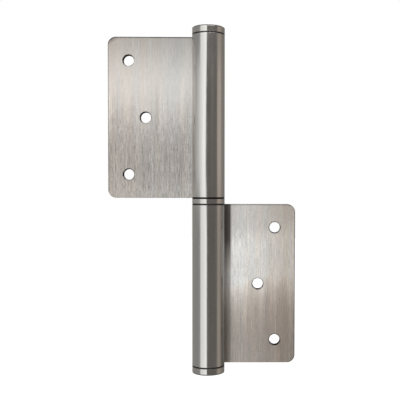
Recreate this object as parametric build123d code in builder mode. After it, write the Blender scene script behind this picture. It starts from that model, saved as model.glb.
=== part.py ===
from build123d import *
import math
import os

# Lift-off flag hinge in stainless sheet, lying open with its leaves in one plane.
# The origin is on the pin's axis, at mid-height of the washer. +Z runs up the pin,
# +X towards the lower leaf, and the knuckles stand proud towards -Y. Sizes are in mm.

# Sheet and knuckle
sheet_thickness = 3.0
bore_radius = 5.0
leaf_height = 80.0
lower_reach = 43.2
upper_reach = 50.3
corner_radius = 4.0
edge_break = 0.3
seam_gap = 0.3

# Screw holes, for M5 screws
hole_radius = 2.65
hole_edge_break = 0.2
hole_pitch = 56.6
outer_hole_inset = 10.25
middle_hole_inset = 18.75

# Washer between the knuckles
washer_thickness = 3.0
washer_clearance = 0.08
washer_break = 0.3

# Pin: the shank is pressed into the lower knuckle, the journal carries the upper one
journal_clearance = 0.03
pin_foot_gap = 0.5
pin_tip_gap = 2.0
pin_foot_break = 0.5
pin_tip_break = 1.2

# Caps
cap_thickness = 3.5
cap_rim_break = 0.5
cap_seam_break = 0.25
spigot_length = 5.0
spigot_break = 0.4

knuckle_radius = bore_radius + sheet_thickness
journal_radius = bore_radius - journal_clearance
washer_top = washer_thickness / 2
washer_foot = -washer_thickness / 2
upper_foot = washer_top
upper_top = upper_foot + leaf_height
lower_top = washer_foot
lower_foot = lower_top - leaf_height
upper_middle = (upper_foot + upper_top) / 2
lower_middle = (lower_foot + lower_top) / 2

# The roll ends square, and its outer corner stops short of the leaf's front face
seam_angle = math.degrees(math.asin((bore_radius - seam_gap) / knuckle_radius))
roll_sweep = 270 + seam_angle
seam_x = math.cos(math.radians(seam_angle))
seam_y = math.sin(math.radians(seam_angle))

os.makedirs("parts", exist_ok=True)

# Lower leaf: flat sheet along the back, rolled round the far side and the front
with BuildPart() as lower_leaf:
    with BuildSketch(Plane.XY.offset(lower_foot)):
        with BuildLine():
            Line((0, knuckle_radius), (lower_reach, knuckle_radius))
            Line((lower_reach, knuckle_radius), (lower_reach, bore_radius))
            Line((lower_reach, bore_radius), (0, bore_radius))
            CenterArc((0, 0), bore_radius, 90, roll_sweep)
            Line(
                (bore_radius * seam_x, bore_radius * seam_y),
                (knuckle_radius * seam_x, knuckle_radius * seam_y),
            )
            CenterArc((0, 0), knuckle_radius, 90, roll_sweep)
        make_face()
    extrude(amount=leaf_height)
    fillet(lower_leaf.edges().filter_by(Axis.Y).sort_by(Axis.X)[-2:], corner_radius)
    lower_rims = lower_leaf.edges().filter_by(Axis.Z, reverse=True).filter_by(Axis.Y, reverse=True)
    lower_sides = lower_leaf.edges().filter_by(Axis.Z).sort_by(Axis.X)[-2:]
    chamfer(lower_rims + lower_sides, edge_break)
    with BuildSketch(Plane.XZ.offset(-bore_radius)) as lower_screws:
        with Locations((lower_reach - outer_hole_inset, lower_middle)):
            with GridLocations(0, hole_pitch, 1, 2):
                Circle(hole_radius)
        with Locations((lower_reach - middle_hole_inset, lower_middle)):
            Circle(hole_radius)
    extrude(amount=-sheet_thickness, mode=Mode.SUBTRACT)
    lower_hole_rims = lower_leaf.edges().filter_by(GeomType.CIRCLE).filter_by(
        lambda rim: abs(rim.radius - hole_radius) < 0.01
    )
    chamfer(lower_hole_rims, hole_edge_break)
lower_leaf.part.label = "lower_leaf"
export_step(lower_leaf.part, "parts/lower_leaf.step")

# Upper leaf: the same roll turned the other way, on a wider leaf
with BuildPart() as upper_leaf:
    with BuildSketch(Plane.XY.offset(upper_foot)):
        with BuildLine():
            Line((0, knuckle_radius), (-upper_reach, knuckle_radius))
            Line((-upper_reach, knuckle_radius), (-upper_reach, bore_radius))
            Line((-upper_reach, bore_radius), (0, bore_radius))
            CenterArc((0, 0), bore_radius, 90, -roll_sweep)
            Line(
                (-bore_radius * seam_x, bore_radius * seam_y),
                (-knuckle_radius * seam_x, knuckle_radius * seam_y),
            )
            CenterArc((0, 0), knuckle_radius, 90, -roll_sweep)
        make_face()
    extrude(amount=leaf_height)
    fillet(upper_leaf.edges().filter_by(Axis.Y).sort_by(Axis.X)[:2], corner_radius)
    upper_rims = upper_leaf.edges().filter_by(Axis.Z, reverse=True).filter_by(Axis.Y, reverse=True)
    upper_sides = upper_leaf.edges().filter_by(Axis.Z).sort_by(Axis.X)[:2]
    chamfer(upper_rims + upper_sides, edge_break)
    with BuildSketch(Plane.XZ.offset(-bore_radius)) as upper_screws:
        with Locations((outer_hole_inset - upper_reach, upper_middle)):
            with GridLocations(0, hole_pitch, 1, 2):
                Circle(hole_radius)
        with Locations((middle_hole_inset - upper_reach, upper_middle)):
            Circle(hole_radius)
    extrude(amount=-sheet_thickness, mode=Mode.SUBTRACT)
    upper_hole_rims = upper_leaf.edges().filter_by(GeomType.CIRCLE).filter_by(
        lambda rim: abs(rim.radius - hole_radius) < 0.01
    )
    chamfer(upper_hole_rims, hole_edge_break)
upper_leaf.part.label = "upper_leaf"
export_step(upper_leaf.part, "parts/upper_leaf.step")

# Washer: a plain thrust ring round the pin
with BuildPart() as washer:
    with BuildSketch(Plane.XY.offset(washer_foot)):
        Circle(knuckle_radius)
        Circle(journal_radius + washer_clearance, mode=Mode.SUBTRACT)
    extrude(amount=washer_thickness)
    chamfer(washer.edges().filter_by(GeomType.CIRCLE), washer_break)
washer.part.label = "washer"
export_step(washer.part, "parts/washer.step")

# Pin: a full-size shank below the washer, a slightly slimmer journal above
shank_length = leaf_height - spigot_length - pin_foot_gap
journal_length = washer_thickness + leaf_height - spigot_length - pin_tip_gap
with BuildPart() as pin:
    with BuildSketch(Plane.XY.offset(lower_top)):
        Circle(bore_radius)
    extrude(amount=-shank_length)
    chamfer(pin.edges().sort_by(Axis.Z)[0], pin_foot_break)
    with BuildSketch(Plane.XY.offset(lower_top)):
        Circle(journal_radius)
    extrude(amount=journal_length)
    chamfer(pin.edges().sort_by(Axis.Z)[-1], pin_tip_break)
pin.part.label = "pin"
export_step(pin.part, "parts/pin.step")

# Lower cap: a disc the size of the knuckle, on a spigot pressed into the bore
with BuildPart() as lower_cap:
    with BuildSketch(Plane.XY.offset(lower_foot - cap_thickness)):
        Circle(knuckle_radius)
    extrude(amount=cap_thickness)
    chamfer(lower_cap.edges().sort_by(Axis.Z)[0], cap_rim_break)
    chamfer(lower_cap.edges().sort_by(Axis.Z)[-1], cap_seam_break)
    with BuildSketch(Plane.XY.offset(lower_foot)):
        Circle(bore_radius)
    extrude(amount=spigot_length)
    chamfer(lower_cap.edges().sort_by(Axis.Z)[-1], spigot_break)
lower_cap.part.label = "lower_cap"
export_step(lower_cap.part, "parts/lower_cap.step")

# Upper cap: the lower one turned over
with BuildPart() as upper_cap:
    with BuildSketch(Plane.XY.offset(upper_top)):
        Circle(knuckle_radius)
    extrude(amount=cap_thickness)
    chamfer(upper_cap.edges().sort_by(Axis.Z)[-1], cap_rim_break)
    chamfer(upper_cap.edges().sort_by(Axis.Z)[0], cap_seam_break)
    with BuildSketch(Plane.XY.offset(upper_top)):
        Circle(bore_radius)
    extrude(amount=-spigot_length)
    chamfer(upper_cap.edges().sort_by(Axis.Z)[0], spigot_break)
upper_cap.part.label = "upper_cap"
export_step(upper_cap.part, "parts/upper_cap.step")
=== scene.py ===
import math
from typing import NamedTuple

import bpy
from bpy.props import FloatProperty, FloatVectorProperty, IntProperty, PointerProperty
from bpy.types import Operator, Panel, PropertyGroup
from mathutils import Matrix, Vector
from mathutils.geometry import delaunay_2d_cdt


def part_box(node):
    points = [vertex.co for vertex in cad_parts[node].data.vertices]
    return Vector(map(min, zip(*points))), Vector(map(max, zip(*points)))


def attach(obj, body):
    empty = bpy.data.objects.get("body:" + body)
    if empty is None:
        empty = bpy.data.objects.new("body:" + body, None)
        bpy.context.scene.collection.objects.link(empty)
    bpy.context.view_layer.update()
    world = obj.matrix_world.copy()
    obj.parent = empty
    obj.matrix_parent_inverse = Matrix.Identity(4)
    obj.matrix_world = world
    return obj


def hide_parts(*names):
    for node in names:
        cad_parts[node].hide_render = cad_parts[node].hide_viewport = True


bl_info = {
    "name": "Lift-off flag hinge",
    "version": (1, 0, 0),
    "blender": (4, 5, 0),
    "location": "View3D > Sidebar > Hinge",
    "description": "Rolls, turns and stages a stainless steel lift-off flag hinge",
    "category": "Add Mesh",
}

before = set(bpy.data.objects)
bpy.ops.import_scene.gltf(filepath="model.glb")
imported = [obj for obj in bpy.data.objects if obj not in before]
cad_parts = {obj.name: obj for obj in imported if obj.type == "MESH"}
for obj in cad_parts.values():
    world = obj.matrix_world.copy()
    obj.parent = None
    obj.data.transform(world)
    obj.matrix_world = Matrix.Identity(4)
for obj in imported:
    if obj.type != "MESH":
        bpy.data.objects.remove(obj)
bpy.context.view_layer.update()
lower_low, lower_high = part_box("lower_leaf")
upper_low, upper_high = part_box("upper_leaf")
washer_low, washer_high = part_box("washer")
pin_low, pin_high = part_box("pin")
lower_cap_low, lower_cap_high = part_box("lower_cap")
upper_cap_low, upper_cap_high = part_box("upper_cap")


# What the sidebar shows: sizes in metres, colours, finishes and the studio


def length(name, description, default, lowest=0.0):
    """A size in metres."""
    return FloatProperty(
        name=name, description=description, default=default, min=lowest, unit="LENGTH", precision=5
    )


def share(name, description, default):
    """A number from 0 to 1."""
    return FloatProperty(
        name=name, description=description, default=default, min=0.0, max=1.0, subtype="FACTOR"
    )


def colour(name, description, default):
    """A linear colour."""
    return FloatVectorProperty(
        name=name, description=description, default=default, size=3, min=0.0, max=1.0, subtype="COLOR"
    )


def lean(name, description, degrees):
    """An angle, given in degrees."""
    return FloatProperty(name=name, description=description, default=math.radians(degrees), subtype="ANGLE")


def amount(name, description, default, lowest=0.0):
    """A plain number."""
    return FloatProperty(name=name, description=description, default=default, min=lowest)


def faces_round(name, description, default):
    """How many faces go round a round shape."""
    return IntProperty(name=name, description=description, default=default, min=24, max=360)


class SheetSizes(PropertyGroup):
    """Sizes of the two rolled leaves."""

    thickness: length("Sheet thickness", "Thickness of the rolled sheet", 0.003, 0.0005)
    bore: length("Bore radius", "Inside radius of the knuckle", 0.005, 0.001)
    lower_reach: length("Lower leaf", "From the pin's axis to the lower leaf's edge", lower_high.x)
    upper_reach: length("Upper leaf", "From the pin's axis to the upper leaf's edge", -upper_low.x)
    corner: length("Corner radius", "Radius of the leaf's outer corners", 0.004)
    edge: length("Edge round", "Radius that the sheared edges are dressed to", 0.0003, 0.00005)
    seam_gap: length("Seam gap", "Gap between the end of the roll and the leaf", 0.0003)
    hole: length("Hole radius", "Radius of a screw hole", 0.00265, 0.0005)
    hole_edge: length("Hole edge round", "Radius that a hole's rim is dressed to", 0.0002, 0.00005)
    hole_pitch: length("Hole pitch", "Between the two outer holes", 0.0566)
    outer_inset: length("Outer hole inset", "From the leaf's edge to the outer holes", 0.01025)
    middle_inset: length("Middle hole inset", "From the leaf's edge to the middle hole", 0.01875)
    roll_steps: faces_round("Roll steps", "Faces round the rolled knuckle", 128)


class TurnedSizes(PropertyGroup):
    """Sizes of the washer, the pin and the caps."""

    washer_bore: length("Washer bore", "Inside radius of the washer", 0.00505)
    washer_round: length("Washer edge", "Round on the washer's edges", 0.0003, 0.00005)
    journal: length("Journal radius", "Radius of the pin in the upper knuckle", 0.00497)
    tip: length("Pin tip", "Bevel on the pin's tip", 0.0012)
    cap_rim: length("Cap rim", "Round on the cap's outer rim", 0.0005, 0.00005)
    cap_seam: length("Cap seam", "Round on the cap's edge against the knuckle", 0.00025, 0.00005)
    facets: faces_round("Facets", "Faces round a turned piece", 144)


class SteelFinish(PropertyGroup):
    """Colours and gloss of the steel."""

    leaf: colour("Leaf steel", "Colour of the brushed leaves", (0.80, 0.78, 0.75))
    knuckle: colour("Knuckle steel", "Colour of the polished knuckles", (0.58, 0.57, 0.55))
    turned: colour("Turned steel", "Colour of the caps, washer and pin", (0.58, 0.565, 0.54))
    leaf_roughness: share("Leaf roughness", "Roughness of the brushed leaves", 0.74)
    knuckle_roughness: share("Knuckle roughness", "Roughness of the polished knuckles", 0.15)
    turned_roughness: share("Turned roughness", "Roughness of the turned pieces", 0.12)
    grain: share("Grain", "Strength of the brushed grain", 0.6)


class StudioSettings(PropertyGroup):
    """Camera, light tent, softboxes and floor."""

    lens: amount("Lens", "Focal length in mm", 65.10, 10.0)
    distance: length("Distance", "From the pin's axis to the camera", 0.3576)
    side: length("Side", "How far right of the axis the camera stands", 0.01874)
    height: length("Height", "How far above the washer the camera stands", 0.00553)
    down: lean("Tilt down", "How far the camera looks down", 1.79)
    turn: lean("Turn right", "How far the camera looks right", 0.84)
    roll: lean("Roll left", "How far the camera leans to its left", 0.14)
    shift_x: amount("Shift across", "How far the lens is shifted to the right", -0.1426, -1.0)
    shift_y: amount("Shift up", "How far the lens is shifted up", 0.0316, -1.0)
    tent_radius: length("Tent radius", "Radius of the light tent round the hinge", 0.9)
    tent_height: length("Tent height", "Half the height of the tent's wall", 0.42)
    softbox: amount("Softbox", "Radiance of the softbox over the camera", 6.5)
    back_softbox: amount("Back softbox", "Radiance of the softbox behind", 2.8)
    floor: length("Floor drop", "How far the floor is under the washer", 0.42)


# Nodes, meshes and objects


def held(value):
    """A value kept between 0 and 1."""
    return min(1.0, max(0.0, value))


def new_mesh(name, points, lines, faces):
    """A mesh of those points, with its lines or faces."""
    mesh = bpy.data.meshes.new(name)
    mesh.from_pydata(points, lines, faces)
    return mesh


def point_values(mesh, name, values):
    """Keeps a number for each point of the mesh."""
    mesh.attributes.new(name, "FLOAT", "POINT").data.foreach_set("value", values)


def placed(name, data):
    """A new object in the scene."""
    made = bpy.data.objects.new(name, data)
    bpy.context.scene.collection.objects.link(made)
    return made


def add(tree, kind, inputs=(), **settings):
    """A node with its settings, and its inputs linked or set."""
    made = tree.nodes.new(kind)
    for name, value in settings.items():
        setattr(made, name, value)
    for name, value in inputs:
        if isinstance(value, bpy.types.NodeSocket):
            tree.links.new(value, made.inputs[name])
        else:
            made.inputs[name].default_value = value
    return made


def maths(tree, operation, first, second=0.0):
    """The output of one Math node."""
    return add(tree, "ShaderNodeMath", [(0, first), (1, second)], operation=operation).outputs[0]


def product(tree, first, *others):
    """All of them multiplied together."""
    for other in others:
        first = maths(tree, "MULTIPLY", first, other)
    return first


def total(tree, first, *others):
    """All of them added up."""
    for other in others:
        first = maths(tree, "ADD", first, other)
    return first


def vector_maths(tree, operation, first, second):
    """The output of one Vector Math node."""
    return add(tree, "ShaderNodeVectorMath", [(0, first), (1, second)], operation=operation).outputs[0]


def axes(tree, place):
    """The x, y and z of a place."""
    return add(tree, "ShaderNodeSeparateXYZ", [(0, place)]).outputs


def vector(tree, x=0.0, y=0.0, z=0.0):
    """A place from its x, y and z."""
    return add(tree, "ShaderNodeCombineXYZ", [(0, x), (1, y), (2, z)]).outputs[0]


def tidy_tree(tree):
    """Nodes in columns, by how far each is from the inputs."""
    column_width = 220
    row_height = 190
    depth = {}

    def reach(made):
        if made.name not in depth:
            depth[made.name] = 0
            feeds = [k.from_node for s in made.inputs for k in s.links]
            depth[made.name] = 1 + max((reach(f) for f in feeds), default=-1)
        return depth[made.name]

    rows = {}
    for made in tree.nodes:
        column = reach(made)
        rows[column] = rows.get(column, 0) + 1
        made.location = (column * column_width, -rows[column] * row_height)


class Leaf(NamedTuple):
    """A leaf: its name and body, its side of the pin, its reach from the axis, its foot, top and look."""

    name: str
    body: str
    side: float
    reach: float
    foot: float
    top: float
    look: dict


# How each leaf looks. Its tones are painted light and shade up the leaf's front, as (share of the leaf's
# height, tone, warmth), from foot to top.
# outer, near, beside: painted light and shade at the outer edge, near the knuckle and right beside it
# corner: shade in the corner by the knuckle, at the foot and at the top
# streaks: strength of the brushed streaks on the lower and on the upper half
# hairlines: how much lighter the hairlines are
# lifted: how far the painted shade along the upper edge widens at the outer corner, in metres
# tilt: how far the tones slope towards the outer edge, as a share of the height
# tan: how tan the steel is at the outer edge and at the knuckle
# edges: how dull the edge is, with its painted shade, along the top, down the side and round the corner at
# the foot
# holes: how dull a hole's front edge is at most, with its painted shade, and its shares all round, towards
# the knuckle and upwards
# knuckle: tone of the knuckle's painted shade where it faces its leaf
LOWER_LOOK = {
    "tones": [
        (0.0, 0.61, 0.6),
        (0.22, 0.595, 0.8),
        (0.42, 0.83, 0.6),
        (0.6, 1.36, 0.05),
        (0.82, 0.76, 0.1),
        (1.0, 0.82, 0.2),
    ],
    "outer": 0.665,
    "near": 1.09,
    "beside": 0.6,
    "corner": (0.30, 0.80),
    "streaks": (1.3, 1.3),
    "hairlines": 0.14,
    "lifted": 0.0003,
    "tilt": -0.06,
    "tan": (0.05, -0.04),
    "edges": (0.5, 0.6, 0.75),
    "holes": (1.8, 0.7, 0.15, -0.5),
    "knuckle": 0.47,
}
UPPER_LOOK = {
    "tones": [
        (0.0, 0.58, 0.28),
        (0.16, 0.45, 0.32),
        (0.4, 0.48, 0.28),
        (0.62, 0.70, 0.1),
        (0.8, 0.64, 0.1),
        (1.0, 0.39, 0.3),
    ],
    "outer": 1.04,
    "near": 1.22,
    "beside": 1.0,
    "corner": (0.0, 0.0),
    "streaks": (2.45, 1.0),
    "hairlines": 0.08,
    "lifted": 0.0032,
    "tilt": 0.0,
    "tan": (0.014, -0.022),
    "edges": (0.9, 0.45, 0.0),
    "holes": (1.8, 0.4, -0.56, 0.56),
    "knuckle": 1.0,
}


# Blank: the leaf as it is cut, flat, before its knuckle is rolled. u runs along the sheet from the
# leaf's edge, past the tangent line at 0, to the end of the roll, and z runs along the pin.

CORNER_STEPS = 12
HOLE_STEPS = 48
ROLL_END_STRIP = 0.0009

# How dull those edges are that look the same on both leaves, with their painted shade, and how much more
# painted shade a hole's shaded side adds
KNUCKLE_END_WEAR_AND_SHADE = 0.9
KNUCKLE_TOP_WEAR_AND_SHADE = 0.5
WALL_WEAR_AND_SHADE = 0.35
HOLE_WALL_WEAR_AND_SHADE = 0.7
HOLE_WALL_SHADE_MORE = 0.5


def roll_angle(sheet):
    """How far round the sheet is rolled, in radians."""
    end = math.asin((sheet.bore - sheet.seam_gap) / (sheet.bore + sheet.thickness))
    return 1.5 * math.pi + end


def edge_rows(edge, thickness, steps, support):
    """(inset from the outline, depth) from the front face round the edge to the back face."""
    rows = [(edge + support, 0.0)]
    for k in range(steps + 1):
        angle = 0.5 * math.pi * k / steps
        rows.append((edge - edge * math.sin(angle), edge - edge * math.cos(angle)))
    rows.append((0.0, edge + 0.5 * support))
    back = [(inset, thickness - depth) for inset, depth in reversed(rows)]
    return rows + back


def outline(leaf, sheet):
    """(point, inward direction) round the blank, starting and ending at the tangent line."""
    corner, foot, top = sheet.corner, leaf.foot, leaf.top
    middle = sheet.bore + 0.5 * sheet.thickness
    end = roll_angle(sheet) * middle
    last = end - ROLL_END_STRIP
    columns = [last * k / sheet.roll_steps for k in range(sheet.roll_steps + 1)]
    loop = [((u, foot), (0.0, 1.0)) for u in columns]
    loop += [((end, foot), (-1.0, 1.0)), ((end, top), (-1.0, -1.0))]
    loop += [((u, top), (0.0, -1.0)) for u in reversed(columns)]
    for centre_z, start in ((top - corner, 0.5 * math.pi), (foot + corner, math.pi)):
        for k in range(CORNER_STEPS + 1):
            angle = start + 0.5 * math.pi * k / CORNER_STEPS
            way = (math.cos(angle), math.sin(angle))
            point = (corner - leaf.reach + corner * way[0], centre_z + corner * way[1])
            loop.append((point, (-way[0], -way[1])))
    return loop


def hole_centres(leaf, sheet):
    """Where the three screw holes are on the blank."""
    middle = 0.5 * (leaf.foot + leaf.top)
    outer = sheet.outer_inset - leaf.reach
    return [
        (outer, middle + 0.5 * sheet.hole_pitch),
        (sheet.middle_inset - leaf.reach, middle),
        (outer, middle - 0.5 * sheet.hole_pitch),
    ]


def hole_rim(sheet, centre):
    """(point, direction into the sheet) round one screw hole."""
    rim = []
    for k in range(HOLE_STEPS):
        angle = 2 * math.pi * k / HOLE_STEPS
        way = (math.cos(angle), -math.sin(angle))
        rim.append(((centre[0] + sheet.hole * way[0], centre[1] + sheet.hole * way[1]), way))
    return rim


def edge_wear_and_shade(u, du, dz, row, rows, look):
    """How dull the outline's edge is at a row, with its painted shade, counted from the front, where (du,
    dz) points inwards.
    """
    inner = min(row, rows - 1 - row)
    if inner == 0:
        return 0.0
    if u > 0:
        return KNUCKLE_TOP_WEAR_AND_SHADE if inner == 1 and dz < 0 else KNUCKLE_END_WEAR_AND_SHADE
    if row >= rows // 2 - 1:
        return WALL_WEAR_AND_SHADE
    top, side, corner = look["edges"]
    # The corner at the foot is dull and takes painted shade on its outer part, and the edge along the foot
    # is clean
    if dz > 0.3:
        return corner if du > 0.25 else 0.0
    return top if dz < -0.05 else side


def hole_wear_and_shade(u, du, dz, row, rows, look):
    """How dull a screw hole's edge is, with its painted shade: its wall all round and its front edge, both
    most on its shaded side.
    """
    inner = min(row, rows - 1 - row)
    if inner == 0:
        return 0.0
    most, all_round, side_u, side_z = look["holes"]
    shaded_side = held(all_round + du * side_u + dz * side_z)
    if row >= rows // 2 - 1:
        return HOLE_WALL_WEAR_AND_SHADE + HOLE_WALL_SHADE_MORE * shaded_side
    return most * shaded_side


def flat_triangles(name, points, rims, centres, hole):
    """Triangles of the front face between the leaf's outline, the first rim, and its holes, the others."""
    index = []
    edges = []
    for rim in rims:
        first = len(index)
        index += rim
        edges += [(first + k, first + (k + 1) % len(rim)) for k in range(len(rim))]
    flat = [Vector((points[i][0], points[i][2])) for i in index]
    made = delaunay_2d_cdt(flat, edges, [], 0, 1e-9)
    if len(made[0]) != len(flat):
        raise RuntimeError(f"{name}: the flat face has points that coincide")
    triangles = []
    for triangle in made[2]:
        ids = [made[3][v][0] for v in triangle]
        a, b, c = (flat[i] for i in ids)
        middle = (a + b + c) / 3
        if any((middle - Vector(centre)).length < hole for centre in centres):
            continue
        if (b - a).cross(c - a) < 0:
            ids = ids[::-1]
        triangles.append(tuple(index[i] for i in ids))
    return triangles


def cut_blank(name, leaf, sheet):
    """The blank as one closed mesh with dressed edges, with its place on the sheet as a UV map."""
    centres = hole_centres(leaf, sheet)
    rim_rows = edge_rows(sheet.edge, sheet.thickness, steps=4, support=0.00025)
    hole_rows = edge_rows(sheet.hole_edge, sheet.thickness, steps=3, support=0.0002)
    loops = [(outline(leaf, sheet), rim_rows, edge_wear_and_shade)]
    loops += [(hole_rim(sheet, centre), hole_rows, hole_wear_and_shade) for centre in centres]

    # Dressed edges: strips from the front face round each edge to the back face
    points, faces, worn_and_shaded, starts = [], [], [], []
    for ring, rows, wear_and_shade in loops:
        first, count = len(points), len(ring)
        starts.append((first, count, len(rows)))
        for r, (inset, depth) in enumerate(rows):
            for (u, z), (du, dz) in ring:
                points.append((u + inset * du, depth, z + inset * dz))
                worn_and_shaded.append(wear_and_shade(u, du, dz, r, len(rows), leaf.look))
        for r in range(len(rows) - 1):
            for k in range(count):
                a = first + r * count + k
                b = first + r * count + (k + 1) % count
                faces.append((a, a + count, b + count, b))

    # The outline has steps + 2 points along the foot of the roll and as many back along its top,
    # and ends with the corners of the leaf
    steps = sheet.roll_steps
    for back in (False, True):
        rows = [first + back * (row_count - 1) * count for first, count, row_count in starts]
        rim, rim_count = rows[0], starts[0][1]
        # Rolled part: one strip across the sheet between each pair of columns
        low = [rim + k for k in range(steps + 2)]
        high = [rim + 2 * steps + 3 - k for k in range(steps + 2)]
        made = [(low[k + 1], high[k + 1], high[k], low[k]) for k in range(steps + 1)]
        # Flat part: triangles between the outline and the holes
        rims = [[rim + k for k in range(2 * steps + 3, rim_count)] + [rim]]
        rims += [[row + k for k in range(count)] for row, (_, count, _) in zip(rows[1:], starts[1:])]
        made += flat_triangles(name, points, rims, centres, sheet.hole)
        faces += [face[::-1] if back else face for face in made]

    mesh = new_mesh(name, points, [], faces)
    mesh.update()
    if mesh.validate():
        raise RuntimeError(f"{name}: the blank has faces that can't be made")
    point_values(mesh, "along", [p[0] for p in points])
    point_values(mesh, "edge", worn_and_shaded)
    sheet_map = mesh.uv_layers.new(name="sheet")
    for loop in mesh.loops:
        u, depth, z = points[loop.vertex_index]
        sheet_map.data[loop.index].uv = (u + depth, z)
    return mesh


# Shaping: the roll and the lathe


def shape_tree(name, inputs):
    """A Geometry Nodes tree, the identifiers of its inputs by name, and the inputs' sockets."""
    tree = bpy.data.node_groups.new(name, "GeometryNodeTree")
    sockets = tree.interface
    sockets.new_socket("Geometry", in_out="OUTPUT", socket_type="NodeSocketGeometry")
    sockets.new_socket("Geometry", in_out="INPUT", socket_type="NodeSocketGeometry")
    named = {
        label: sockets.new_socket(label, in_out="INPUT", socket_type="NodeSocket" + kind).identifier
        for label, kind in inputs
    }
    return tree, named, tree.nodes.new("NodeGroupInput").outputs


def realized(tree, geometry, material):
    """Smooth shading, real meshes in place of instances, and the material."""
    smooth = add(tree, "GeometryNodeSetShadeSmooth", [("Geometry", geometry)]).outputs[0]
    real = add(tree, "GeometryNodeRealizeInstances", [("Geometry", smooth)]).outputs[0]
    inputs = [("Geometry", real), ("Material", material)]
    return add(tree, "GeometryNodeSetMaterial", inputs).outputs[0]


def roll_tree():
    """Rolls a blank's knuckle: what lies past the tangent line is wound round the bore."""
    tree, named, given = shape_tree(
        "Roll the knuckle",
        (
            ("Bore radius", "Float"),
            ("Sheet thickness", "Float"),
            ("Side", "Float"),
            ("Leaf material", "Material"),
            ("Knuckle material", "Material"),
        ),
    )
    place = add(tree, "GeometryNodeInputPosition").outputs[0]
    u, depth, z = axes(tree, place)
    radius = total(tree, given["Bore radius"], depth)
    middle = total(tree, given["Bore radius"], product(tree, given["Sheet thickness"], 0.5))
    angle = maths(tree, "DIVIDE", maths(tree, "MAXIMUM", u, 0.0), middle)
    flat = maths(tree, "MINIMUM", u, 0.0)
    wound = product(tree, maths(tree, "SINE", angle), radius)
    across = product(tree, total(tree, wound, flat), product(tree, given["Side"], -1.0))
    behind = product(tree, maths(tree, "COSINE", angle), radius)
    rolled = vector(tree, across, behind, z)
    moved = add(tree, "GeometryNodeSetPosition", [("Geometry", given["Geometry"]), ("Position", rolled)])
    turned = maths(tree, "GREATER_THAN", given["Side"], 0.0)
    flipped = add(tree, "GeometryNodeFlipFaces", [("Mesh", moved.outputs[0]), ("Selection", turned)])
    whole = realized(tree, flipped.outputs[0], given["Leaf material"])
    along = add(tree, "GeometryNodeInputNamedAttribute", [("Name", "along")], data_type="FLOAT")
    past = maths(tree, "GREATER_THAN", along.outputs[0], 0.0)
    knuckle = add(
        tree,
        "GeometryNodeSetMaterial",
        [("Geometry", whole), ("Selection", past), ("Material", given["Knuckle material"])],
    )
    add(tree, "NodeGroupOutput", [(0, knuckle.outputs[0])])
    tidy_tree(tree)
    return tree, named


def lathe_tree():
    """Turns a profile, a row of points at (radius, 0, height), round the pin's axis."""
    tree, named, given = shape_tree("Turn on the lathe", (("Facets", "Int"), ("Material", "Material")))
    size = add(tree, "GeometryNodeAttributeDomainSize", [("Geometry", given["Geometry"])])
    count = size.outputs["Point Count"]
    columns = total(tree, given["Facets"], 1.0)
    grid = add(tree, "GeometryNodeMeshGrid", [("Vertices X", columns), ("Vertices Y", count)])
    index = add(tree, "GeometryNodeInputIndex").outputs[0]
    column = maths(tree, "FLOOR", maths(tree, "DIVIDE", total(tree, index, 0.5), count))
    row = maths(tree, "SUBTRACT", index, product(tree, column, count))

    def from_profile(value, kind):
        inputs = [("Geometry", given["Geometry"]), ("Value", value), ("Index", row)]
        sample = add(tree, "GeometryNodeSampleIndex", inputs, data_type=kind, domain="POINT")
        return sample.outputs["Value"]

    place = from_profile(add(tree, "GeometryNodeInputPosition").outputs[0], "FLOAT_VECTOR")
    radius, _, height = axes(tree, place)
    angle = product(tree, maths(tree, "DIVIDE", column, given["Facets"]), 2 * math.pi)
    x = product(tree, radius, maths(tree, "COSINE", angle))
    y = product(tree, radius, maths(tree, "SINE", angle))
    turned = vector(tree, x, y, height)
    moved = add(tree, "GeometryNodeSetPosition", [("Geometry", grid.outputs["Mesh"]), ("Position", turned)])
    worn_and_shaded = add(tree, "GeometryNodeInputNamedAttribute", [("Name", "edge")], data_type="FLOAT").outputs[0]
    kept = add(
        tree,
        "GeometryNodeStoreNamedAttribute",
        [("Geometry", moved.outputs[0]), ("Name", "edge"), ("Value", from_profile(worn_and_shaded, "FLOAT"))],
        data_type="FLOAT",
        domain="POINT",
    )
    closed = add(tree, "GeometryNodeMergeByDistance", [("Geometry", kept.outputs[0]), ("Distance", 1e-6)])
    done = realized(tree, closed.outputs[0], given["Material"])
    add(tree, "NodeGroupOutput", [(0, done)])
    tidy_tree(tree)
    return tree, named


def volume(mesh):
    """Signed volume: positive where the faces point outwards."""
    cubes = 0.0
    mesh.calc_loop_triangles()
    for triangle in mesh.loop_triangles:
        a, b, c = (mesh.vertices[v].co for v in triangle.vertices)
        cubes += a.dot(b.cross(c)) / 6
    return cubes


def finish_piece(name, blank, tree, values, body, slot, *nodes):
    """Runs the tree on the blank and leaves a plain mesh for the nodes, which rides on the body."""
    least_volume = 1e-9
    source = placed(name + "_blank", blank)
    made = source.modifiers.new("shape", "NODES")
    made.node_group = tree
    for identifier, value in values:
        made[identifier] = value
    source.update_tag()
    bpy.context.view_layer.update()
    graph = bpy.context.evaluated_depsgraph_get()
    mesh = bpy.data.meshes.new_from_object(source.evaluated_get(graph), depsgraph=graph)
    source.modifiers.clear()
    bpy.data.objects.remove(source)
    mesh.name = name
    if volume(mesh) < 0:
        mesh.flip_normals()
    if volume(mesh) < least_volume or not mesh.materials:
        raise RuntimeError(f"{name} came out empty, open or bare")
    piece = placed(name, mesh)
    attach(piece, body)
    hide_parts(*nodes)
    return piece


def profile_mesh(name, points):
    """A row of profile points, (radius, height, dullness with painted shade), as a mesh for the lathe."""
    lines = [(k, k + 1) for k in range(len(points) - 1)]
    mesh = new_mesh(name, [(r, 0.0, z) for r, z, _ in points], lines, [])
    point_values(mesh, "edge", [wear_and_shade for _, _, wear_and_shade in points])
    return mesh


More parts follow.
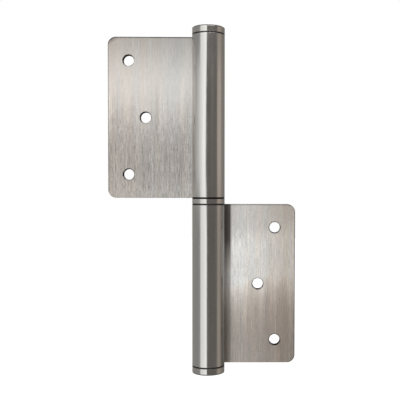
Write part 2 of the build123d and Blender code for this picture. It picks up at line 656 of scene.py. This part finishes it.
def rounded(profile, steps=4, support=0.0002):
    """A profile of (point, round, dullness with painted shade) with each corner rounded, and a point just
    before and after it.
    """
    made = []
    corners = [Vector(point) for point, _, _ in profile]
    for k, (_, radius, worn_and_shaded) in enumerate(profile):
        here = corners[k]
        if radius <= 0:
            made.append((*here, worn_and_shaded))
            continue
        back = (corners[k - 1] - here).normalized()
        on = (corners[k + 1] - here).normalized()
        half = 0.5 * back.angle(on)
        cut = radius / math.tan(half)
        centre = here + (back + on).normalized() * radius / math.sin(half)
        start, end = here + back * cut, here + on * cut
        before, after = start + back * support, end + on * support
        a, b = start - centre, end - centre
        angle = a.angle(b)
        made.append((*before, 0.0))
        for s in range(steps + 1):
            t = s / steps
            way = (a * math.sin((1 - t) * angle) + b * math.sin(t * angle)) / math.sin(angle)
            made.append((*(centre + way), worn_and_shaded))
        made.append((*after, 0.0))
    return made


# Finishes

# Patterns in the steel: how often each repeats in a metre on each axis, its detail and its roughness
PATTERNS = {
    "wander": ((150, 420, 1), 2.0, 0.5),
    "fine": ((4600, 210, 1), 2.0, 0.65),
    "long": ((3200, 30, 1), 3.0, 0.65),
    "specks": ((3600, 800, 1), 2.0, 0.6),
    "bands": ((260, 14, 1), 3.0, 0.5),
    "scuffs": ((95, 70, 1), 4.0, 0.6),
    "hairs": ((1150, 5, 1), 1.0, 0.4),
    "hues": ((190, 6, 1), 3.0, 0.6),
    "polish": ((3000, 26, 1), 3.0, 0.55),
    "roll marks": ((300, 75, 1), 4.0, 0.6),
    "grooves": ((4200, 1, 4200), 3.0, 0.6),
    "patches": ((260, 260, 260), 4.0, 0.6),
}

# What the grain is made of, and how much of each
GRAIN_WEIGHTS = (("fine", 0.42), ("long", 0.36), ("specks", 0.22))

# Places on the flat of a leaf, as u on the sheet, between which or up to which its front changes: its
# painted light and shade, and its tan
OUTER_PART = (-0.0385, -0.0155)
NEAR_PART = (-0.0155, -0.0085)
BESIDE_KNUCKLE = (-0.0108, -0.0084)
SHADED_CORNER = (-0.0107, -0.0099)
TILT_END = -0.0115
TAN_END = -0.009

# Widths on a leaf: the corner that the painted shade along the upper edge spreads in, how far that shade
# starts below the top and ends above it, how far in from foot and top the corner's painted shade changes,
# and how ragged it is
CORNER_WIDTH = 0.006
TOP_SHADE_SPAN = (0.0012, 0.0024)
SHADE_RISES = (0.046, 0.018)
RAGGED = 0.0012

# How far the strokes wander to each side, and how deep they are
WANDER = 0.00016
BUMP_HEIGHT = 0.00002

# Depth behind a leaf's front face where the front's look fades, and where the back's comes in
FRONT_FADES = (0.0006, 0.0012)
BACK_STARTS = (0.0012, 0.0022)
BACK_SHARE = 0.75
BACK_TONE = (0.62, 0.61, 0.60, 1.0)

# Places on the knuckle, as u on the sheet, between which it turns to face its leaf and takes its painted
# shade
FACING_LEAF = (0.0283, 0.0303)


def bare_tree(holder):
    """The node tree of a material or a world, emptied."""
    holder.use_nodes = True
    holder.node_tree.nodes.clear()
    return holder.node_tree


def new_material(name):
    """A metal with one Principled shader, and its tree."""
    material = bpy.data.materials.new(name)
    tree = bare_tree(material)
    shader = add(tree, "ShaderNodeBsdfPrincipled", [("Metallic", 1.0)])
    add(tree, "ShaderNodeOutputMaterial", [(0, shader.outputs[0])])
    return material, tree, shader


def edge_dullness_and_shade(tree):
    """How dull an edge is, with its painted shade, as the blank or the profile gives it."""
    return add(tree, "ShaderNodeAttribute", attribute_name="edge").outputs["Fac"]


def pattern(tree, place, name):
    """The value of one of the patterns, from 0 to 1."""
    scale, detail, rough = PATTERNS[name]
    stretched = vector_maths(tree, "MULTIPLY", place, scale)
    inputs = [("Vector", stretched), ("Scale", 1.0), ("Detail", detail), ("Roughness", rough)]
    return add(tree, "ShaderNodeTexNoise", inputs).outputs[0]


def spread(tree, value, low, high, start=0.3, end=0.7):
    """value, from start to end, spread from low to high."""
    return add(
        tree,
        "ShaderNodeMapRange",
        [("Value", value), ("From Min", start), ("From Max", end), ("To Min", low), ("To Max", high)],
    ).outputs[0]


def about(tree, value, middle, most):
    """A pattern's value as a number round the middle, at most that far from it."""
    return spread(tree, value, middle - most, middle + most)


def within(tree, value, mask):
    """A factor that holds where the mask is 1, and is 1 where the mask is 0."""
    return total(tree, product(tree, maths(tree, "SUBTRACT", value, 1.0), mask), 1.0)


def tinted(tree, colour_value, factor):
    """A colour made lighter or darker by a factor."""
    inputs = [(0, colour_value), ("Scale", factor)]
    return add(tree, "ShaderNodeVectorMath", inputs, operation="SCALE").outputs[0]


def warmed(level, warmth, green_loss, blue_loss):
    """A grey of that level, warmed by a loss of green and blue."""
    return (level, level * (1 - green_loss * warmth), level * (1 - blue_loss * warmth), 1.0)


def finish_steel(tree, shader, steel, rough, relief, strength, brushed=0.0):
    """Gives the shader its colour, roughness and relief, and how far its highlights are drawn out."""
    tree.links.new(steel, shader.inputs["Base Color"])
    tree.links.new(rough, shader.inputs["Roughness"])
    if brushed:
        shader.inputs["Anisotropic"].default_value = brushed
        tangent = add(tree, "ShaderNodeTangent", direction_type="UV_MAP", uv_map="sheet").outputs[0]
        tree.links.new(tangent, shader.inputs["Tangent"])
    inputs = [("Strength", strength), ("Distance", BUMP_HEIGHT), ("Height", relief)]
    tree.links.new(add(tree, "ShaderNodeBump", inputs).outputs[0], shader.inputs["Normal"])
    tidy_tree(tree)


def leaf_surface(tree, sheet):
    """What a leaf's finish goes by: its places, sides and edges, and the marks of the brush."""
    place = add(tree, "ShaderNodeUVMap", uv_map="sheet").outputs[0]
    u, z, _ = axes(tree, place)
    behind = axes(tree, add(tree, "ShaderNodeTexCoord").outputs["Object"])[1]
    front = spread(tree, behind, 1.0, 0.0, *(sheet.bore + depth for depth in FRONT_FADES))
    back = spread(tree, behind, 0.0, BACK_SHARE, *(sheet.bore + depth for depth in BACK_STARTS))
    surface = {"u": u, "z": z, "front": front, "back": back, "edge": edge_dullness_and_shade(tree)}

    wander = spread(tree, pattern(tree, place, "wander"), -WANDER, WANDER)
    swayed = vector_maths(tree, "ADD", place, vector(tree, wander))
    for name in ("fine", "long", "hues"):
        surface[name] = pattern(tree, swayed, name)
    for name in ("specks", "bands", "scuffs", "hairs"):
        surface[name] = pattern(tree, place, name)
    strokes = (product(tree, surface[name], weight) for name, weight in GRAIN_WEIGHTS)
    surface["grain"] = total(tree, *strokes)
    return surface


def brushed_streaks(tree, surface, leaf, finish):
    """Tone of the streaks, bands, scuffs and hairlines."""
    low, high = (finish.grain * strength for strength in leaf.look["streaks"])
    below_middle = 0.6 * leaf.foot + 0.4 * leaf.top
    above_middle = 0.4 * leaf.foot + 0.6 * leaf.top
    strength = spread(tree, surface["z"], low, high, below_middle, above_middle)
    streak = product(tree, spread(tree, surface["grain"], -0.42, 0.42, 0.34, 0.66), strength)
    hair = spread(tree, surface["hairs"], 0.0, leaf.look["hairlines"], 0.64, 0.74)
    hair = product(tree, hair, about(tree, surface["fine"], 1.0, 0.3))
    bands = about(tree, surface["bands"], 1.0, 0.045)
    scuffs = about(tree, surface["scuffs"], 1.0, 0.045)
    return product(tree, total(tree, streak, 1.0), bands, scuffs, total(tree, hair, 1.0))


def painted_light_tones(tree, surface, leaf):
    """Painted light and shade as broad tones up the leaf's front, which waver with the bands, and the plain
    tone of its back.
    """
    waver = product(tree, maths(tree, "SUBTRACT", surface["bands"], 0.5), 0.25)
    slope = spread(tree, surface["u"], leaf.look["tilt"], 0.0, -leaf.reach, TILT_END)
    rise = spread(tree, surface["z"], 0.0, 1.0, leaf.foot, leaf.top)
    ramp = add(tree, "ShaderNodeValToRGB", [("Fac", total(tree, rise, total(tree, waver, slope)))])
    ramp.color_ramp.interpolation = "B_SPLINE"
    stops = ramp.color_ramp.elements
    while len(stops) < len(leaf.look["tones"]):
        stops.new(0.5)
    for stop, (at, level, warmth) in zip(stops, leaf.look["tones"]):
        stop.position = at
        stop.color = warmed(level, warmth, 0.10, 0.175)
    inputs = [(0, surface["back"]), (6, ramp.outputs[0]), (7, BACK_TONE)]
    return add(tree, "ShaderNodeMix", inputs, data_type="RGBA").outputs[2]


def painted_edge_shade(tree, surface, leaf):
    """Painted shade along the upper edge, and on the sheared edges by how dull they are."""
    widened = spread(tree, surface["u"], leaf.look["lifted"], 0.0, -leaf.reach, CORNER_WIDTH - leaf.reach)
    widened = product(tree, widened, about(tree, surface["scuffs"], 1.0, 0.4))
    below, above = TOP_SHADE_SPAN
    height = total(tree, surface["z"], widened)
    upper_edge = spread(tree, height, 1.0, 0.32, leaf.top - below, leaf.top + above)
    # Painted shade on the sheared edges and rounds, by how dull they are
    dull = product(tree, surface["edge"], about(tree, surface["scuffs"], 1.0, 0.3))
    return product(tree, upper_edge, spread(tree, dull, 1.0, 0.04, 0.0, 1.0))


def knuckle_shade(tree, surface, leaf):
    """Painted shade of the strip against the knuckle, from 0 to 1."""
    ragged = total(tree, surface["u"], product(tree, surface["grain"], RAGGED))
    above_foot, below_top = SHADE_RISES
    deep = spread(tree, surface["z"], *leaf.look["corner"], leaf.foot + above_foot, leaf.top - below_top)
    deep = product(tree, deep, spread(tree, ragged, 0.0, 1.0, *SHADED_CORNER))
    clear = maths(tree, "SUBTRACT", 1.0, deep)
    clear = product(tree, clear, spread(tree, surface["u"], 1.0, leaf.look["beside"], *BESIDE_KNUCKLE))
    return maths(tree, "SUBTRACT", 1.0, clear)


def brushed_leaf(leaf, sheet, finish):
    """Brushed sheet: short and long grain along the pin, painted light and shade up the leaf and by the
    knuckle, dull sheared edges with painted shade.
    """
    material, tree, shader = new_material("brushed_" + leaf.name)
    surface = leaf_surface(tree, sheet)
    # Painted light and shade: lighter or darker near the knuckle and at the outer edge, and painted shade
    # beside the knuckle
    near = spread(tree, surface["u"], 1.0, leaf.look["near"], *NEAR_PART)
    outer = spread(tree, surface["u"], leaf.look["outer"], 1.0, *OUTER_PART)
    shade = product(tree, knuckle_shade(tree, surface, leaf), surface["front"])
    tone = product(
        tree,
        brushed_streaks(tree, surface, leaf, finish),
        within(tree, product(tree, near, outer), surface["front"]),
        painted_edge_shade(tree, surface, leaf),
        maths(tree, "SUBTRACT", 1.0, shade),
    )
    # Streaks are warmer or cooler, one side of the leaf is more tan, and the painted shade is warmer
    tan = spread(tree, surface["u"], *leaf.look["tan"], -leaf.reach, TAN_END)
    tint = total(
        tree,
        product(tree, maths(tree, "SUBTRACT", surface["long"], surface["specks"]), 0.06),
        about(tree, surface["hues"], 0.0, 0.03),
        product(tree, tan, surface["front"]),
        product(tree, shade, 0.13),
    )
    more_red = total(tree, tint, 1.0)
    less_blue = maths(tree, "SUBTRACT", 1.0, tint)
    warm = vector(tree, more_red, 1.0, less_blue)
    steel = vector_maths(tree, "MULTIPLY", tuple(finish.leaf), painted_light_tones(tree, surface, leaf))
    steel = tinted(tree, vector_maths(tree, "MULTIPLY", steel, warm), tone)
    rough = total(
        tree,
        about(tree, surface["grain"], finish.leaf_roughness, 0.07),
        about(tree, surface["scuffs"], 0.0, 0.03),
        product(tree, surface["edge"], 0.1),
    )
    finish_steel(tree, shader, steel, rough, surface["grain"], 0.25, brushed=0.4)
    return material


def polished_knuckle(leaf, finish):
    """The rolled knuckle: the same sheet, rubbed nearly bright, with faint marks of the roll, and painted
    shade where it faces its leaf and on its dull edges.
    """
    material, tree, shader = new_material("polished_" + leaf.name)
    place = add(tree, "ShaderNodeUVMap", uv_map="sheet").outputs[0]
    polish = pattern(tree, place, "polish")
    marks = pattern(tree, place, "roll marks")
    u = axes(tree, place)[0]
    edge = edge_dullness_and_shade(tree)
    tone = product(
        tree,
        about(tree, polish, 1.0, 0.035),
        about(tree, marks, 1.0, 0.02),
        # Painted shade where the knuckle faces its leaf, and on its dull edges
        spread(tree, u, 1.0, leaf.look["knuckle"], *FACING_LEAF),
        spread(tree, edge, 1.0, 0.0, 0.0, 0.5),
    )
    rough = total(
        tree,
        about(tree, polish, finish.knuckle_roughness, 0.03),
        about(tree, marks, 0.0, 0.015),
        product(tree, edge, 0.5),
    )
    steel = tinted(tree, tuple(finish.knuckle), tone)
    finish_steel(tree, shader, steel, rough, polish, 0.06, brushed=0.3)
    return material


def turned_steel(finish):
    """Turned pieces: faint rings from the tool on the ends and round the sides, and painted shade on the
    dull edges.
    """
    material, tree, shader = new_material("turned_steel")
    coordinates = add(tree, "ShaderNodeTexCoord").outputs
    place = coordinates["Object"]
    x, y, z = axes(tree, place)
    square = total(tree, maths(tree, "POWER", x, 2.0), maths(tree, "POWER", y, 2.0))
    ring = vector(tree, maths(tree, "SQRT", square), 0.0, z)
    grooves = pattern(tree, ring, "grooves")
    patches = pattern(tree, place, "patches")
    edge = edge_dullness_and_shade(tree)
    tone = product(
        tree,
        about(tree, grooves, 1.0, 0.04),
        about(tree, patches, 1.0, 0.025),
        # Painted shade on the dull edges
        spread(tree, edge, 1.0, 0.0, 0.0, 1.0),
    )
    # The faced ends keep the tool's marks and are duller than the sides
    facing = axes(tree, coordinates["Normal"])[2]
    rough = total(
        tree,
        about(tree, grooves, finish.turned_roughness, 0.04),
        about(tree, patches, 0.0, 0.02),
        spread(tree, maths(tree, "ABSOLUTE", facing), 0.0, 0.22, 0.8, 0.98),
        product(tree, edge, 0.3),
    )
    finish_steel(tree, shader, tinted(tree, tuple(finish.turned), tone), rough, grooves, 0.08)
    return material


class HINGE_OT_roll_leaves(Operator):
    """Cut both leaves from flat sheet and roll their knuckles"""

    bl_idname = "hinge.roll_leaves"
    bl_label = "Roll the leaves"

    def execute(self, context):
        sheet, finish = context.scene.hinge_sheet, context.scene.hinge_finish
        tree, named = roll_tree()
        for leaf in (
            Leaf("lower_leaf", "lower", 1.0, sheet.lower_reach, lower_low.z, lower_high.z, LOWER_LOOK),
            Leaf("upper_leaf", "upper", -1.0, sheet.upper_reach, upper_low.z, upper_high.z, UPPER_LOOK),
        ):
            name = leaf.name + "_rolled"
            values = [
                (named["Bore radius"], sheet.bore),
                (named["Sheet thickness"], sheet.thickness),
                (named["Side"], leaf.side),
                (named["Leaf material"], brushed_leaf(leaf, sheet, finish)),
                (named["Knuckle material"], polished_knuckle(leaf, finish)),
            ]
            blank = cut_blank(name, leaf, sheet)
            finish_piece(name, blank, tree, values, leaf.body, "brushed_leaf", leaf.name)
        return {"FINISHED"}


# Profiles for the lathe: a row of (point, round, dullness with painted shade), with each point as (radius,
# height)


def washer_profile(turned, outside):
    """A ring, from the middle of its bore round the foot, the outside and the top."""
    foot, top = washer_low.z, washer_high.z
    inside, edge = turned.washer_bore, turned.washer_round
    middle = 0.5 * (foot + top)
    return [
        ((inside, middle), 0, 0),
        ((inside, foot), edge, 0),
        ((outside, foot), edge, 0.8),
        ((outside, top), edge, 1),
        ((inside, top), edge, 0),
        ((inside, middle), 0, 0),
    ]


def pin_profile(turned, shank):
    """A full shank with a bevelled foot, a fine step to the journal, and a bevelled tip."""
    foot, top, shoulder = pin_low.z, pin_high.z, lower_high.z
    foot_bevel = 0.0005
    step = 0.0001
    foot_round = 0.0002
    tip_round = 0.0003
    return [
        ((0.0, foot), 0, 0),
        ((shank - foot_bevel, foot), foot_round, 0),
        ((shank, foot + foot_bevel), foot_round, 0),
        ((shank, shoulder - step), 0, 0),
        ((turned.journal, shoulder), 0, 0),
        ((turned.journal, top - turned.tip), tip_round, 0),
        ((turned.journal - turned.tip, top), tip_round, 0),
        ((0.0, top), 0, 0),
    ]


def cap_profile(turned, disc, spigot, outer, seam, inner):
    """A disc from its outer face to the seam against the knuckle, and its spigot inside the bore."""
    spigot_round = 0.0004
    return [
        ((0.0, outer), 0, 0),
        ((disc, outer), turned.cap_rim, 0.85),
        ((disc, seam), turned.cap_seam, 0.85),
        ((spigot, seam), 0, 0),
        ((spigot, inner), spigot_round, 0),
        ((0.0, inner), 0, 0),
    ]


class HINGE_OT_turn_pieces(Operator):
    """Turn the washer, the pin and both caps on the lathe"""

    bl_idname = "hinge.turn_pieces"
    bl_label = "Turn the washer, pin and caps"

    def execute(self, context):
        sheet, turned = context.scene.hinge_sheet, context.scene.hinge_turned
        tree, named = lathe_tree()
        steel = turned_steel(context.scene.hinge_finish)
        values = [(named["Facets"], turned.facets), (named["Material"], steel)]
        bore, outside = sheet.bore, sheet.bore + sheet.thickness
        lower = (lower_cap_low.z, lower_low.z, lower_cap_high.z)
        upper = (upper_cap_high.z, upper_high.z, upper_cap_low.z)
        for name, body, profile in (
            ("washer", "washer", washer_profile(turned, outside)),
            ("pin", "lower", pin_profile(turned, bore)),
            ("lower_cap", "lower", cap_profile(turned, outside, bore, *lower)),
            ("upper_cap", "upper", cap_profile(turned, outside, bore, *upper)),
        ):
            blank = profile_mesh(name, rounded(profile))
            finish_piece(name + "_turned", blank, tree, values, body, "turned_steel", name)
        return {"FINISHED"}


# Studio

# Light of the tent: degrees left of the camera, level above, level below, warmth
TENT_TONES = [
    (-180.0, 0.38, 0.38, 0.3),
    (-141.0, 0.28, 0.26, 0.6),
    (-112.0, 0.34, 0.30, 0.8),
    (-92.0, 0.62, 0.46, 1.0),
    (-76.0, 0.60, 0.44, 1.0),
    (-68.0, 0.50, 0.36, 0.9),
    (-62.0, 0.18, 0.19, 0.7),
    (-40.0, 0.19, 0.17, 0.6),
    (-26.0, 0.21, 0.17, 0.6),
    (-12.0, 0.165, 0.17, 0.5),
    (7.0, 0.17, 0.17, 0.5),
    (10.0, 1.38, 1.38, 0.0),
    (18.0, 1.45, 1.38, 0.0),
    (31.0, 1.42, 1.18, 0.0),
    (46.0, 1.17, 1.13, 0.0),
    (54.0, 1.07, 1.05, 0.0),
    (58.0, 1.00, 0.42, 0.0),
    (63.0, 0.95, 0.38, 0.0),
    (80.0, 0.69, 0.35, 0.1),
    (101.0, 0.57, 0.36, 0.3),
    (131.0, 0.47, 0.38, 0.4),
    (150.0, 0.42, 0.36, 0.4),
    (180.0, 0.38, 0.38, 0.3),
]

# Rows of the tent between its foot and its top: height, whether it takes the level above (0) or
# below (1), and how many degrees askew the edge of the bright part hangs there
TENT_ROWS = ((-0.03, 1, 0.0), (0.03, 0, 9.0), (0.21, 0, 3.0), (0.24, 1, 0.0))

# The edge hangs askew from straight ahead to the last of these directions, and fully between the others
ASKEW_FULL_FROM = 7.0
ASKEW_FULL_TO = 18.0
ASKEW_END = 45.0

TENT_STEP = 3.0
FLOOR_HALF_WIDTH = 6.0
SOFTBOX_LENGTH = 1.9
SOFTBOX_WIDTH = 0.34
SOFTBOX_DISTANCE = 0.77
SOFTBOX_HEIGHT = 0.56


def ray_kinds(tree):
    """Masks of what the camera sees straight, and of all that it sees, mirrored or through another too."""
    path = tree.nodes.new("ShaderNodeLightPath").outputs
    straight = path["Is Camera Ray"]
    seen = maths(tree, "MAXIMUM", straight, path["Is Glossy Ray"])
    return straight, maths(tree, "MAXIMUM", seen, path["Is Transmission Ray"])


def set_world(scene):
    """A pale world, white where it is seen and a little darker where it lights the hinge."""
    scene.world = bpy.data.worlds.new("pale_studio")
    tree = bare_tree(scene.world)
    _, seen = ray_kinds(tree)
    level = spread(tree, seen, 0.7, 1.0, 0.0, 1.0)
    sky = add(tree, "ShaderNodeBackground", [("Color", (1.0, 1.0, 1.0, 1.0)), ("Strength", level)])
    add(tree, "ShaderNodeOutputWorld", [(0, sky.outputs[0])])
    tidy_tree(tree)


def lay_floor(studio):
    """A pale floor, far under the hinge, which hangs on its mount."""
    half, level = FLOOR_HALF_WIDTH, -studio.floor
    corners = [(-half, -half, level), (half, -half, level), (half, half, level), (-half, half, level)]
    mesh = new_mesh("floor", corners, [], [(0, 1, 2, 3)])
    pale = bpy.data.materials.new("pale_floor")
    tree = bare_tree(pale)
    straight, seen = ray_kinds(tree)
    seen_glow = 0.42
    straight_glow = 0.38
    glow = total(tree, product(tree, seen, seen_glow), product(tree, straight, straight_glow))
    matt = add(tree, "ShaderNodeBsdfDiffuse", [("Color", (0.5, 0.5, 0.5, 1.0))])
    lift = add(tree, "ShaderNodeEmission", [("Strength", glow)])
    both = add(tree, "ShaderNodeAddShader", [(0, matt.outputs[0]), (1, lift.outputs[0])])
    add(tree, "ShaderNodeOutputMaterial", [(0, both.outputs[0])])
    tidy_tree(tree)
    mesh.materials.append(pale)
    ground = placed("floor", mesh)


def tent_directions():
    """(degrees, [level above, level below], warmth) all round the tent, with small steps in between."""
    directions = []
    for (start, *low), (end, *high) in zip(TENT_TONES, TENT_TONES[1:]):
        steps = max(1, round((end - start) / TENT_STEP))
        for k in range(steps + (end == TENT_TONES[-1][0])):
            *levels, warmth = [a + (b - a) * k / steps for a, b in zip(low, high)]
            directions.append((start + (end - start) * k / steps, levels, warmth))
    return directions


def hang_tent(studio):
    """A low wall of lit cloth round the hinge, with a tone for each direction, hidden from the camera."""
    foot, top = (-studio.tent_height, 1, 0.0), (studio.tent_height, 1, 0.0)
    rows = (foot, *TENT_ROWS, top)
    points, tones, faces = [], [], []
    for turn, levels, warmth in tent_directions():
        askew = held(turn / ASKEW_FULL_FROM) * held((ASKEW_END - turn) / (ASKEW_END - ASKEW_FULL_TO))
        for z, below, degrees in rows:
            around = math.radians(turn + degrees * askew)
            x, y = -studio.tent_radius * math.sin(around), -studio.tent_radius * math.cos(around)
            points.append((x, y, z))
            tones += warmed(levels[below], warmth, 0.12, 0.22)
    for k in range(len(points) - len(rows)):
        if (k + 1) % len(rows):
            faces.append((k, k + 1, k + 1 + len(rows), k + len(rows)))
    mesh = new_mesh("light_tent", points, [], faces)
    mesh.attributes.new("tone", "FLOAT_COLOR", "POINT").data.foreach_set("color", tones)
    cloth = bpy.data.materials.new("tent_cloth")
    tree = bare_tree(cloth)
    tone = add(tree, "ShaderNodeAttribute", attribute_name="tone").outputs["Color"]
    lit = add(tree, "ShaderNodeEmission", [("Color", tone), ("Strength", 1.0)])
    add(tree, "ShaderNodeOutputMaterial", [(0, lit.outputs[0])])
    tidy_tree(tree)
    mesh.materials.append(cloth)
    tent = placed("light_tent", mesh)
    tent.visible_camera = False


def hang_softboxes(studio):
    """Softboxes over the camera and behind, which light the matt leaves and miss the polished knuckles."""
    for name, side, radiance in (("softbox", -1, studio.softbox), ("back_softbox", 1, studio.back_softbox)):
        place = Vector((0.0, side * SOFTBOX_DISTANCE, SOFTBOX_HEIGHT))
        lamp = bpy.data.lights.new(name, "AREA")
        lamp.shape = "RECTANGLE"
        lamp.size = SOFTBOX_LENGTH
        lamp.size_y = SOFTBOX_WIDTH
        lamp.energy = radiance * math.pi * lamp.size * lamp.size_y
        box = placed(name, lamp)
        box.location = place
        box.rotation_euler = place.to_track_quat("Z", "Y").to_euler()


def set_camera(scene, studio):
    """The camera, in front of the hinge and a little to its right."""
    camera = bpy.data.cameras.new("camera")
    camera.lens = studio.lens
    camera.sensor_width = 36.0
    camera.shift_x = studio.shift_x
    camera.shift_y = studio.shift_y
    camera.clip_start = 0.01
    camera.clip_end = 20.0
    eye = placed("camera", camera)
    eye.location = (studio.side, -studio.distance, studio.height)
    eye.rotation_euler = (math.radians(90) - studio.down, -studio.roll, -studio.turn)
    scene.camera = eye


class HINGE_OT_set_stage(Operator):
    """Set up the world, the floor, the light tent, the softboxes and the camera"""

    bl_idname = "hinge.set_stage"
    bl_label = "Set the stage"

    def execute(self, context):
        scene, studio = context.scene, context.scene.hinge_studio
        scene.view_settings.view_transform = "Standard"
        set_world(scene)
        lay_floor(studio)
        hang_tent(studio)
        hang_softboxes(studio)
        set_camera(scene, studio)
        return {"FINISHED"}


class HINGE_PT_sidebar(Panel):
    """Sizes, finish and stage of the hinge"""

    bl_idname = "HINGE_PT_sidebar"
    bl_label = "Flag hinge"
    bl_space_type = "VIEW_3D"
    bl_region_type = "UI"
    bl_category = "Hinge"

    def draw(self, context):
        for group in GROUPS:
            settings = getattr(context.scene, group)
            column = self.layout.column(align=True)
            for name in settings.__annotations__:
                column.prop(settings, name)
        for operator in OPERATORS:
            self.layout.operator(operator.bl_idname)


GROUPS = {
    "hinge_sheet": SheetSizes,
    "hinge_turned": TurnedSizes,
    "hinge_finish": SteelFinish,
    "hinge_studio": StudioSettings,
}
OPERATORS = (HINGE_OT_roll_leaves, HINGE_OT_turn_pieces, HINGE_OT_set_stage)


def register():
    for name, group in GROUPS.items():
        bpy.utils.register_class(group)
        setattr(bpy.types.Scene, name, PointerProperty(type=group))
    for made in (*OPERATORS, HINGE_PT_sidebar):
        bpy.utils.register_class(made)


def unregister():
    for made in (HINGE_PT_sidebar, *reversed(OPERATORS)):
        bpy.utils.unregister_class(made)
    for name, group in reversed(GROUPS.items()):
        delattr(bpy.types.Scene, name)
        bpy.utils.unregister_class(group)


def main():
    register()
    bpy.ops.hinge.roll_leaves()
    bpy.ops.hinge.turn_pieces()
    bpy.ops.hinge.set_stage()


if __name__ == "__main__":
    main()
